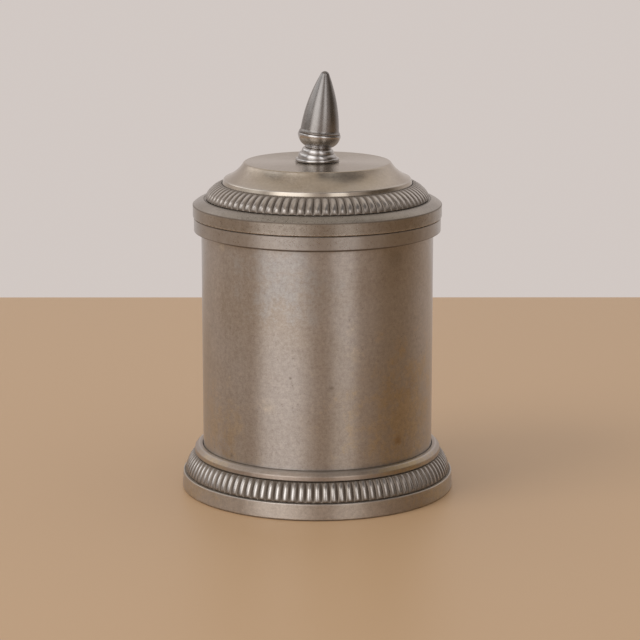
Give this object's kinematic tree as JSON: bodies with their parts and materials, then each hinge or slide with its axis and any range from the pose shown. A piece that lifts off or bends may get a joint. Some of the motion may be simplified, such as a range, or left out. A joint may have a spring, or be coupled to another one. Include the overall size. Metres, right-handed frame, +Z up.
{
  "type": "pewter canister",
  "caption": "Round pewter canister with a straight wall, a spread foot and a lift-off stepped lid, both edged with gadroons, and a spire finial on the lid.",
  "frame": {"origin": "centre of the foot, on the surface that the canister stands on", "axes": "+Z up along the axis of the turned pieces, -Y towards the front of the picture, +X to its right"},
  "size_m": [0.118, 0.118, 0.1808],
  "materials": {
    "pewter_satin": "satin pewter with a warm grey-brown patina",
    "pewter_gadroon": "cast pewter, bright on the crests and dark with oxide in the grooves",
    "pewter_bright": "smoother turned pewter, worn brighter by handling",
    "pewter_inside": "dull unpolished pewter",
    "brass_fastener": "dull turned brass"
  },
  "bodies": {
    "canister": {"body_wall": "pewter_satin", "base_plate": "pewter_inside", "mouth_rim": "pewter_satin", "foot_plinth": "pewter_satin", "foot_gadroon_band": "pewter_gadroon", "foot_fillet": "pewter_satin"},
    "lid": {"lid_rim": "pewter_satin", "lid_gadroon_band": "pewter_gadroon", "lid_crown": "pewter_bright", "lid_flange": "pewter_inside", "finial_cup": "pewter_bright", "finial_spire": "pewter_bright", "finial_stud": "brass_fastener", "finial_washer": "brass_fastener", "finial_nut": "brass_fastener"}
  },
  "joints": [
    {"name": "lid_lift", "type": "slide", "parent": "canister", "child": "lid", "axis": [0, 0, 1], "range_m": [0, 0.15]}
  ]
}
